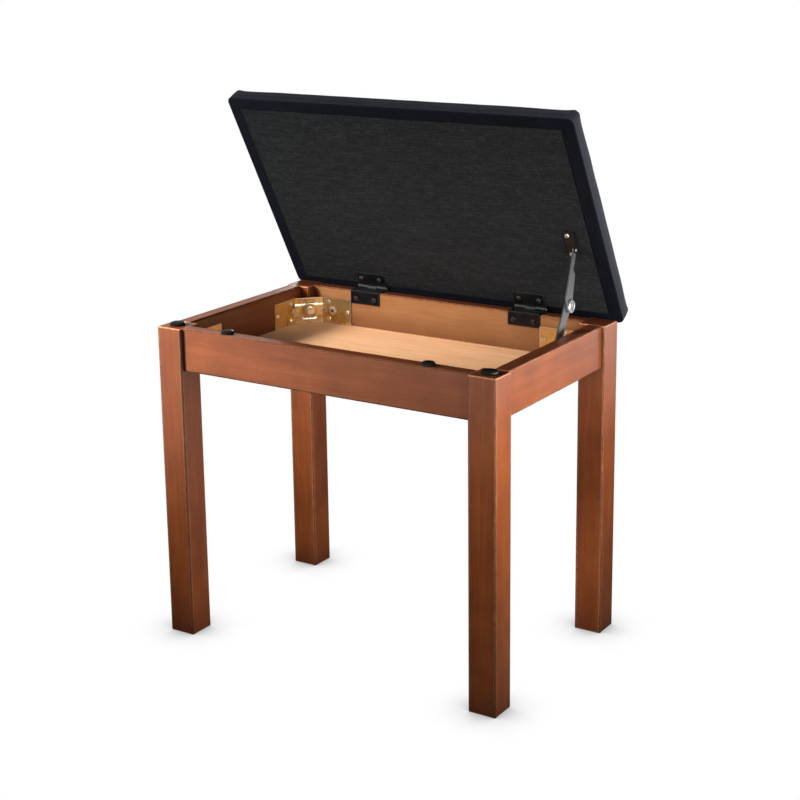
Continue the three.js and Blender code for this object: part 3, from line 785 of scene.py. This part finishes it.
def hinge(label):
    """Two leaves, a pin and four screws. The lower leaf has two knuckles, the upper leaf the one between."""
    low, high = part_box(f"hinge_{label}_lower_leaf")
    third, gap = (high.x - low.x) / 3, 0.15 * MM
    face, top = low.y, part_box("leg_back_left")[1].z
    bend = [(face, low.z, 0), (face + LEAF, low.z, 0), (face + LEAF, top, 0.3 * MM), (LEAF_END, top, 0),
            (LEAF_END, top + LEAF, 0), (face, top + LEAF, 1.6 * MM)]
    plate = prism(fillet(bend, 6), low.x, high.x, "x")
    curl = knuckle_outline(LEAF_END - LAP, top, top + LEAF, False)
    curls = [prism(curl, low.x, low.x + third - gap, "x"), prism(curl, high.x - third + gap, high.x, "x")]
    leaf(f"lower_leaf_{label}", f"hinge_{label}_lower_leaf", "frame", plate, curls)

    plate_low, plate_high = closed_box(f"hinge_{label}_upper_leaf")
    under, over = plate_high.z - LEAF, plate_high.z
    plate = prism(rectangle(low.x, high.x, plate_low.y, LEAF_END, 1.2 * MM), under, over, "z")
    curl = knuckle_outline(LEAF_END - LAP, under, over, True)
    middle = prism(curl, low.x + third + gap, high.x - third - gap, "x")
    leaf(f"upper_leaf_{label}", f"hinge_{label}_upper_leaf", "lid", plate, [middle], OPEN)

    pin_low, pin_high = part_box(f"hinge_{label}_pin")
    half, radius, ease = (pin_high.x - pin_low.x) / 2, 1.2 * MM, 0.25 * MM
    rod = lathe([(0, -half), (0.8 * radius, -half), (radius, -half + ease), (radius, half - ease),
                 (0.8 * radius, half), (0, half)], 20)
    place = turned_to((1, 0, 0), ((pin_low.x + pin_high.x) / 2, PIN.y, PIN.z))
    add(f"pin_{label}", rod, "frame", STEEL, [f"hinge_{label}_pin"], place)
    for n in (1, 2):
        screw(f"hinge_{label}_lower_screw_{n}", "frame", (0, -1, 0), BLACK, 0.5 * n)
        screw(f"hinge_{label}_upper_screw_{n}", "lid", (0, 0, -1), BLACK, 0.9 * n, OPEN)


hinge("left")
hinge("right")


# ---- folding stay
def kept(node, material, ease, segments=3):
    """A CAD piece that stays, with its edges rounded and a better material."""
    data = frame["nodes"][node].data
    data.materials.clear()
    data.materials.append(material)
    bevel = frame["nodes"][node].modifiers.new("eased_edges", "BEVEL")
    bevel.width, bevel.segments, bevel.limit_method = ease, segments, "ANGLE"
    bevel.angle_limit, bevel.harden_normals = math.radians(35), True
    data.shade_smooth()
    data.set_sharp_from_angle(angle=math.radians(60))


kept("storage_tray", TRAY, 0.3 * MM, 1)
kept("stay_upper_arm", ARM_STEEL, 0.35 * MM)
kept("stay_lower_arm", ARM_STEEL, 0.35 * MM)
kept("stay_lid_bracket", BLACK, 0.25 * MM)
kept("stay_apron_bracket", BLACK, 0.35 * MM)

SHANK = 2.5 * MM


def low_end(low, high):
    """The middle of a box's side at its lowest X."""
    return Vector((low.x, (low.y + high.y) / 2, (low.z + high.z) / 2))


def rivet(node, body, place=None):
    """A rivet along X with a domed head on its low side and a peened end on its high side."""
    low, high = box_of(node, place)
    radius, head, length = (high.z - low.z) / 2, 1.4 * MM, high.x - low.x
    dome = [(0, 0), (0.55, 0.08), (0.85, 0.4), (1, 0.75), (1, 1)]
    profile = [(radius * across, head * up) for across, up in dome]
    profile += [(SHANK, head), (SHANK, length - 0.2 * MM), (SHANK - 0.3 * MM, length), (0, length + 0.3 * MM)]
    at = (place or Matrix.Identity(4)) @ turned_to((1, 0, 0), low_end(low, high))
    add("body_" + node, lathe(profile, 32), body, STEEL, [node], at)


def knee_disc():
    """The round knob over the knee, with a groove inside its rim and a star-shaped recess."""
    low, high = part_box("stay_knee_disc")
    radius, depth = (high.z - low.z) / 2, 3.8 * MM
    base, top, rim = high.x - low.x - depth, high.x - low.x, 0.74 * radius
    ease, groove = 0.3 * MM, 0.9 * MM
    profile = [(0, base - 1 * MM), (SHANK, base - 1 * MM), (SHANK, base), (radius - ease, base),
               (radius, base + ease), (radius, top - 2 * ease), (radius - 2 * ease, top),
               (rim + 0.5 * MM, top), (rim, top - groove), (rim - 0.4 * MM, top - groove),
               (rim - groove, top - 0.2 * MM), (0, top)]
    reach, half, recess = 0.6 * radius, 0.75 * MM, 1.6 * MM
    bar = prism(rectangle(-reach, reach, -half, half, 0.4 * half), top - recess, top + recess, "z")
    star = [moved(bar, Matrix.Rotation(k * math.pi / 3, 4, "Z")) for k in range(3)]
    knob = merged(lathe(profile, 48), star, "DIFFERENCE")
    place = turned_to((1, 0, 0), low_end(low, high), 0.35)
    add("knee_knob", knob, "stay_upper_arm", STEEL, ["stay_knee_disc"], place)


rivet("stay_lid_rivet", "lid", OPEN)
rivet("stay_apron_rivet", "frame")
rivet("stay_knee_rivet", "stay_lower_arm")
knee_disc()
for n in (1, 2):
    screw(f"stay_lid_screw_{n}", "lid", (0, 0, -1), STEEL, 0.6 * n, OPEN)
    screw(f"stay_apron_screw_{n}", "frame", (-1, 0, 0), STEEL, 0.8 * n)


# ---- rubber bumpers
def bumper(node):
    """A rubber button: a straight foot below a domed top."""
    low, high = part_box(node)
    radius, height, foot = (high.x - low.x) / 2, high.z - low.z, 0.45
    profile = [(0, 0), (radius - 0.4 * MM, 0), (radius, 0.5 * MM), (radius, foot * height)]
    profile += [(radius * math.cos(a) ** 0.6, height * (foot + (1 - foot) * math.sin(a)))
                for a in np.linspace(0.2, 1.45, 7)]
    place = Matrix.Translation(((low.x + high.x) / 2, (low.y + high.y) / 2, low.z))
    shape = lathe([*profile, (0, height)], 40)
    add("button_" + node, shape, "frame", RUBBER, [node], place)


for node in ("bumper_leg_left", "bumper_leg_right", "bumper_apron_left", "bumper_apron_right"):
    bumper(node)


# ---- upholstered lid, drawn closed
PAD = {"swell": 2.5 * MM, "corner": 9 * MM, "roll": 5 * MM, "hem_roll": 1.2 * MM, "crown": 3.5 * MM}
PAD_ENDS = [e * MM for e in (0, 1.6, 3.4, 5.6, 9, 14, 20)]  # where the grid is finer, from each edge
PAD_STEP = 12 * MM
PAD_LEVELS = (0, 0.05, 0.16, 0.32, 0.5, 0.68, 0.82, 0.93, 1)
BLOWN_CROWN = 0.3  # the share of the crown that is added to a pad that was blown up
GIVE = 0.8 * MM  # how far the blown-up cover may move aside, and up
LIFT = 4 * MM
INFLATE = {"quality": 6, "mass": 0.4, "use_pressure": True, "uniform_pressure_force": 4,
           "vertex_group_mass": "held", "tension_stiffness": 30, "compression_stiffness": 30,
           "shear_stiffness": 12, "bending_stiffness": 1.5}
INFLATE_FRAMES = 20


def grid_lines(low, high):
    """Positions from low to high, close together near both ends."""
    inner_low, inner_high = low + PAD_ENDS[-1], high - PAD_ENDS[-1]
    count = round((inner_high - inner_low) / PAD_STEP)
    middle = np.linspace(inner_low, inner_high, count + 1)[1:-1]
    return [*(low + e for e in PAD_ENDS), *middle, *(high - e for e in reversed(PAD_ENDS))]


def pad_point(p, low, high):
    """A point of the box low to high, moved so that the box's plan corners and long edges are round."""
    core_x = min(max(p.x, low.x + PAD["corner"]), high.x - PAD["corner"])
    core_y = min(max(p.y, low.y + PAD["corner"]), high.y - PAD["corner"])
    dx, dy = p.x - core_x, p.y - core_y
    if dx and dy:
        scale = max(abs(dx), abs(dy)) / math.hypot(dx, dy)
        p = Vector((core_x + dx * scale, core_y + dy * scale, p.z))
    inset = PAD["corner"] - math.hypot(p.x - core_x, p.y - core_y)
    for edge, roll, sign in ((high.z, PAD["roll"], 1), (low.z, PAD["hem_roll"], -1)):
        up = roll - sign * (edge - p.z)
        out = roll - inset
        if up > 0 and out > 0:
            m, r = max(up, out), math.hypot(up, out)
            direction = Vector((p.x - core_x, p.y - core_y, 0)).normalized()
            p = p - direction * (out - out * m / r)
            p.z -= sign * (up - up * m / r)
    return p


def pad_shape(low, high):
    """A closed box of quads with its plan corners and its upper and lower edges rounded."""
    levels = [low.z + (high.z - low.z) * t for t in PAD_LEVELS]
    axes = grid_lines(low.x, high.x), grid_lines(low.y, high.y), levels
    nx, ny, nz = (len(axis) - 1 for axis in axes)
    bm = bmesh.new()
    seen = {}

    def face(*keys, flip=False):
        for key in keys:
            if key not in seen:
                at = Vector([axis[i] for axis, i in zip(axes, key)])
                seen[key] = bm.verts.new(pad_point(at, low, high))
        ring = [seen[key] for key in keys]
        bm.faces.new(reversed(ring) if flip else ring)

    for k in (0, nz):
        for i in range(nx):
            for j in range(ny):
                face((i, j, k), (i + 1, j, k), (i + 1, j + 1, k), (i, j + 1, k), flip=not k)
    for k in range(nz):
        for i in range(nx):
            face((i, 0, k), (i + 1, 0, k), (i + 1, 0, k + 1), (i, 0, k + 1))
            face((i + 1, ny, k), (i, ny, k), (i, ny, k + 1), (i + 1, ny, k + 1))
        for j in range(ny):
            face((0, j + 1, k), (0, j, k), (0, j, k + 1), (0, j + 1, k + 1))
            face((nx, j, k), (nx, j + 1, k), (nx, j + 1, k + 1), (nx, j, k + 1))
    return outward(shape_of(bm))


def inflated(points, faces, low, high):
    """Where the points lie after the cover is blown up a little like cloth, with its lower part held."""
    scene = bpy.context.scene
    mesh = mesh_of((points, faces), "pad_cloth")
    obj = linked("pad_cloth", mesh)
    held = obj.vertex_groups.new(name="held")
    for i, p in enumerate(points):
        held.add([i], 1.0 if p.z < low.z + 0.6 * (high.z - low.z) else 0.0, "REPLACE")
    cloth = obj.modifiers.new("cloth", "CLOTH")
    for setting, value in INFLATE.items():
        setattr(cloth.settings, setting, value)
    cloth.settings.effector_weights.gravity = 0
    cloth.point_cache.frame_start, cloth.point_cache.frame_end = 1, INFLATE_FRAMES
    for step in range(1, INFLATE_FRAMES + 1):
        scene.frame_set(step)
    result = obj.evaluated_get(bpy.context.evaluated_depsgraph_get())
    after = [v.co.copy() for v in result.data.vertices]
    scene.frame_set(1)
    bpy.data.objects.remove(obj)
    bpy.data.meshes.remove(mesh)
    return after


def cover_pull(p, low, high):
    """The small unevenness of cloth pulled over an edge and folded at the corners."""
    middle = (low + high) / 2
    near_x, near_y = min(p.x - low.x, high.x - p.x), min(p.y - low.y, high.y - p.y)
    edge = 1 - smooth_step(min(near_x, near_y), 3 * MM, 30 * MM)
    above = smooth_step(p.z, low.z + 0.3 * MM, low.z + 3 * MM)
    side = noise.noise(Vector((p.x * 28, p.y * 28, p.z * 9))) * 0.5 * MM * edge
    wide = noise.noise(Vector((p.x * 7, p.y * 7, 1.7))) * 0.5 * MM
    fold = fade(abs(near_x - near_y), 0.5, 4) * fade(max(near_x, near_y), 5, 16)
    aside_x = near_x < near_y
    away = Vector((math.copysign(aside_x, p.x - middle.x), math.copysign(not aside_x, p.y - middle.y), 0))
    lift = wide * above * smooth_step(p.z, high.z - 8 * MM, high.z)
    return away * (above * (side - 0.5 * MM * fold)) + Vector((0, 0, lift))


def seat_pad():
    """The cover over its foam and board, a little larger than the CAD's behind and at the sides."""
    low, high = closed_box("seat_cover")
    high.y += PAD["swell"]
    low.x, high.x = low.x - PAD["swell"], high.x + PAD["swell"]
    points, faces = pad_shape(low, high)
    after = inflated(points, faces, low, high)
    crown_height = PAD["crown"] * BLOWN_CROWN
    centre = (low + high) / 2
    soft = []
    for p, q in zip(points, after):
        move = q - p
        aside = Vector((move.x, move.y, 0))
        if aside.length > 0:
            aside = aside.normalized() * (GIVE * math.tanh(aside.length / GIVE))
        across = 1 - (2 * (p.x - centre.x) / (high.x - low.x)) ** 4
        deep = 1 - (2 * (p.y - centre.y) / (high.y - low.y)) ** 4
        top = smooth_step(p.z, centre.z, high.z)
        crown = crown_height * top * max(0, across * deep)
        move = aside + Vector((0, 0, LIFT * math.tanh(move.z / LIFT)))
        p = p + move + Vector((0, 0, crown))
        soft.append(p + cover_pull(p, low, high))
    replaced = ["seat_cover", "seat_foam", "lid_board"]
    pad = add("seat_pad", (soft, faces), "lid", COVER, replaced, OPEN)
    fine = pad.modifiers.new("fine", "SUBSURF")
    fine.levels = fine.render_levels = 1


CLOTH_STEP = 4 * MM
CLOTH_THICK = 0.5 * MM
LEAF_CLEAR = 0.6 * MM


def stations(*stops):
    """Positions about a step apart that include every stop."""
    runs = [np.linspace(a, b, round((b - a) / CLOTH_STEP) + 1)[:-1] for a, b in zip(stops, stops[1:])]
    return [float(x) for x in np.concatenate(runs)] + [stops[-1]]


def dust_cloth():
    """The cloth stapled under the lid, cut out round the two hinge leaves."""
    low, high = closed_box("dust_cloth")
    leaves = [closed_box(f"hinge_{side}_upper_leaf") for side in ("left", "right")]
    spans = [(a.x - LEAF_CLEAR, b.x + LEAF_CLEAR) for a, b in leaves]
    notch = leaves[0][0].y - LEAF_CLEAR
    xs, ys = stations(low.x, *spans[0], *spans[1], high.x), stations(low.y, notch, high.y)
    cut_out = lambda x: any(a < x < b for a, b in spans)
    cells = [(i, j) for i in range(len(xs) - 1) for j in range(len(ys) - 1)
             if ys[j + 1] < notch + LEAF_CLEAR or not cut_out((xs[i] + xs[i + 1]) / 2)]
    used = sorted({(i + a, j + b) for i, j in cells for a in (0, 1) for b in (0, 1)})
    index = {key: k for k, key in enumerate(used)}
    top, bottom = [], []
    for x, y in ((xs[i], ys[j]) for i, j in used):
        on_edge = min(x - low.x, high.x - x, y - low.y, high.y - y) < 0.1 * CLOTH_STEP
        ruffle = 0.5 * MM * noise.noise(Vector((x * 45, y * 45, 0.4))) if on_edge else 0
        px = x if low.x + CLOTH_STEP < x < high.x - CLOTH_STEP else x + ruffle
        py = y if low.y + CLOTH_STEP < y < high.y - CLOTH_STEP else y + ruffle
        sag = 0.12 * MM * noise.noise(Vector((x * 14, y * 30, 2.2)))
        z = high.z - CLOTH_THICK + max(-0.2 * MM, min(0.1 * MM, sag))
        bottom.append((px, py, z))
        top.append((px, py, z + 0.8 * CLOTH_THICK))
    corners = (0, 0), (1, 0), (1, 1), (0, 1)
    quads = [tuple(index[i + a, j + b] for a, b in corners) for i, j in cells]
    shape = outward(walled(top, bottom, quads))
    cloth = add("underside_cloth", shape, "lid", CLOTH, ["dust_cloth"], OPEN, 80)


seat_pad()
dust_cloth()


# ---- floor, light and camera
WHITE = (1, 1, 1, 1)
FLOOR_HALF = 12
FLOOR_BOUNCE = (0.06, 0.06, 0.06, 1)
FOOT_SHADE_REACH = 0.09
FOOT_SHADE = (0.5, 0.92, 0.50, 1.0)  # openness from and to, and the floor's brightness at each
FLOOR_DARK = (0.45, -0.1, 0)  # the middle of the part of the floor that sends no light
FLOOR_DIM = (1.1, 2.2)  # how far from there it begins to glow, and glows fully
FLOOR_FAR = (0.2, 1.6)  # that glow for diffuse and for glossy rays
WORLD_COLOR = (1, 0.99, 0.98, 1)
WORLD_STRENGTH = (0.07, 0.35)  # for diffuse and for glossy rays
CAMERA_AT = (1.22808, -1.89445, 1.00807)
CAMERA_DEGREES = (32.685, 13.839, -0.720)  # azimuth, elevation and roll


def floor():
    """A floor that the camera sees white but for a shade at the feet; far away it lights the bench."""
    corners = [(x * FLOOR_HALF, y * FLOOR_HALF, 0) for x, y in ((-1, -1), (1, -1), (1, 1), (-1, 1))]
    mesh = mesh_of((corners, [[0, 1, 2, 3]]), "floor")
    obj = linked("floor", mesh)
    s = Shade("floor_paint", Roughness=0.9, Base_Color=FLOOR_BOUNCE)
    offset = s.make("ShaderNodeVectorMath", {0: s.coords, 1: FLOOR_DARK}, operation="SUBTRACT").outputs[0]
    away = s.make("ShaderNodeVectorMath", {0: offset}, operation="LENGTH").outputs["Value"]
    path = s.make("ShaderNodeLightPath").outputs
    far = s.range(away, *FLOOR_DIM, 0.0, s.range(path["Is Glossy Ray"], 0.0, 1.0, *FLOOR_FAR))
    shade = s.range(s.near(FOOT_SHADE_REACH), *FOOT_SHADE)
    seen = s.make("ShaderNodeEmission", {"Color": WHITE, "Strength": shade}).outputs[0]
    glow = s.make("ShaderNodeEmission", {"Color": WHITE, "Strength": far}).outputs[0]
    other = s.make("ShaderNodeAddShader", {0: s.shader.outputs[0], 1: glow}).outputs[0]
    both = s.make("ShaderNodeMixShader", {0: path["Is Camera Ray"], 1: other, 2: seen}).outputs[0]
    s.tree.links.new(both, s.tree.nodes["Material Output"].inputs["Surface"])
    mesh.materials.append(s.material)


def world():
    """White to the camera and dim to other rays, brighter to glossy ones."""
    studio = bpy.data.worlds.new("studio")
    studio.use_nodes = True
    nodes, link = studio.node_tree.nodes, studio.node_tree.links.new
    path = nodes.new("ShaderNodeLightPath").outputs
    seen, soft = nodes["Background"], nodes.new("ShaderNodeBackground")
    seen.inputs["Color"].default_value, seen.inputs["Strength"].default_value = WHITE, 1.0
    soft.inputs["Color"].default_value = WORLD_COLOR
    strength = nodes.new("ShaderNodeMapRange")
    strength.inputs["To Min"].default_value, strength.inputs["To Max"].default_value = WORLD_STRENGTH
    link(path["Is Glossy Ray"], strength.inputs["Value"])
    link(strength.outputs[0], soft.inputs["Strength"])
    mix = nodes.new("ShaderNodeMixShader")
    for index, socket in enumerate((path["Is Camera Ray"], soft.outputs[0], seen.outputs[0])):
        link(socket, mix.inputs[index])
    link(mix.outputs[0], nodes["World Output"].inputs["Surface"])
    bpy.context.scene.world = studio


def softbox(name, place, target, size, power, spread, shiny=True):
    """An area light that faces a target, in watts and degrees; glossy rays see it only if it is shiny."""
    light = bpy.data.lights.new(name, "AREA")
    light.shape, light.size, light.size_y = "RECTANGLE", *size
    light.energy, light.spread = power, math.radians(spread)
    obj = linked(name, light)
    away = Vector(place) - Vector(target)
    obj.matrix_world = Matrix.Translation(place) @ away.to_track_quat("Z", "Y").to_matrix().to_4x4()
    obj.visible_camera, obj.visible_glossy = False, shiny


def camera():
    """The photo's camera, as solved from the bench's corners in it."""
    azimuth, elevation, roll = (math.radians(angle) for angle in CAMERA_DEGREES)
    cam = bpy.data.cameras.new("camera")
    cam.lens, cam.sensor_width, cam.shift_y = 75.66, 36, -0.1
    cam.clip_start, cam.clip_end = 0.05, 60
    obj = linked("camera", cam)
    level = math.cos(elevation)
    back = Vector((math.sin(azimuth) * level, -math.cos(azimuth) * level, math.sin(elevation)))
    turn = back.to_track_quat("Z", "Y").to_matrix().to_4x4() @ Matrix.Rotation(roll, 4, "Z")
    obj.matrix_world = Matrix.Translation(CAMERA_AT) @ turn
    bpy.context.scene.camera = obj


floor()
world()
softbox("key_right", (0.56, -0.08, 0.405), (0.25, -0.05, 0.39), (0.46, 0.07), 2.9, 170)
softbox("fill_lid", (0.7, -0.2, 1.0), (0.22, 0.08, 0.74), (0.3, 0.3), 0.5, 38)
softbox("fill_right", (2.2, 0.35, 0.2), (0.0, 0.0, 0.15), (1.0, 0.4), 7.5, 170)
softbox("fill_under", (0.16, 0.0, 0.18), (-0.3, 0.0, 0.18), (0.4, 0.26), 0.6, 170)
softbox("fill_front", (-0.87, -0.75, 0.87), (-0.12, 0.0, 0.48), (0.25, 0.25), 4.5, 62, shiny=False)
softbox("fill_back", (-0.9, 1.9, 0.6), (0.0, 0.15, 0.5), (1.0, 0.6), 20.0, 170)
camera()

view = bpy.context.scene.view_settings
view.view_transform, view.look, view.exposure, view.gamma = "Standard", "None", 0, 1
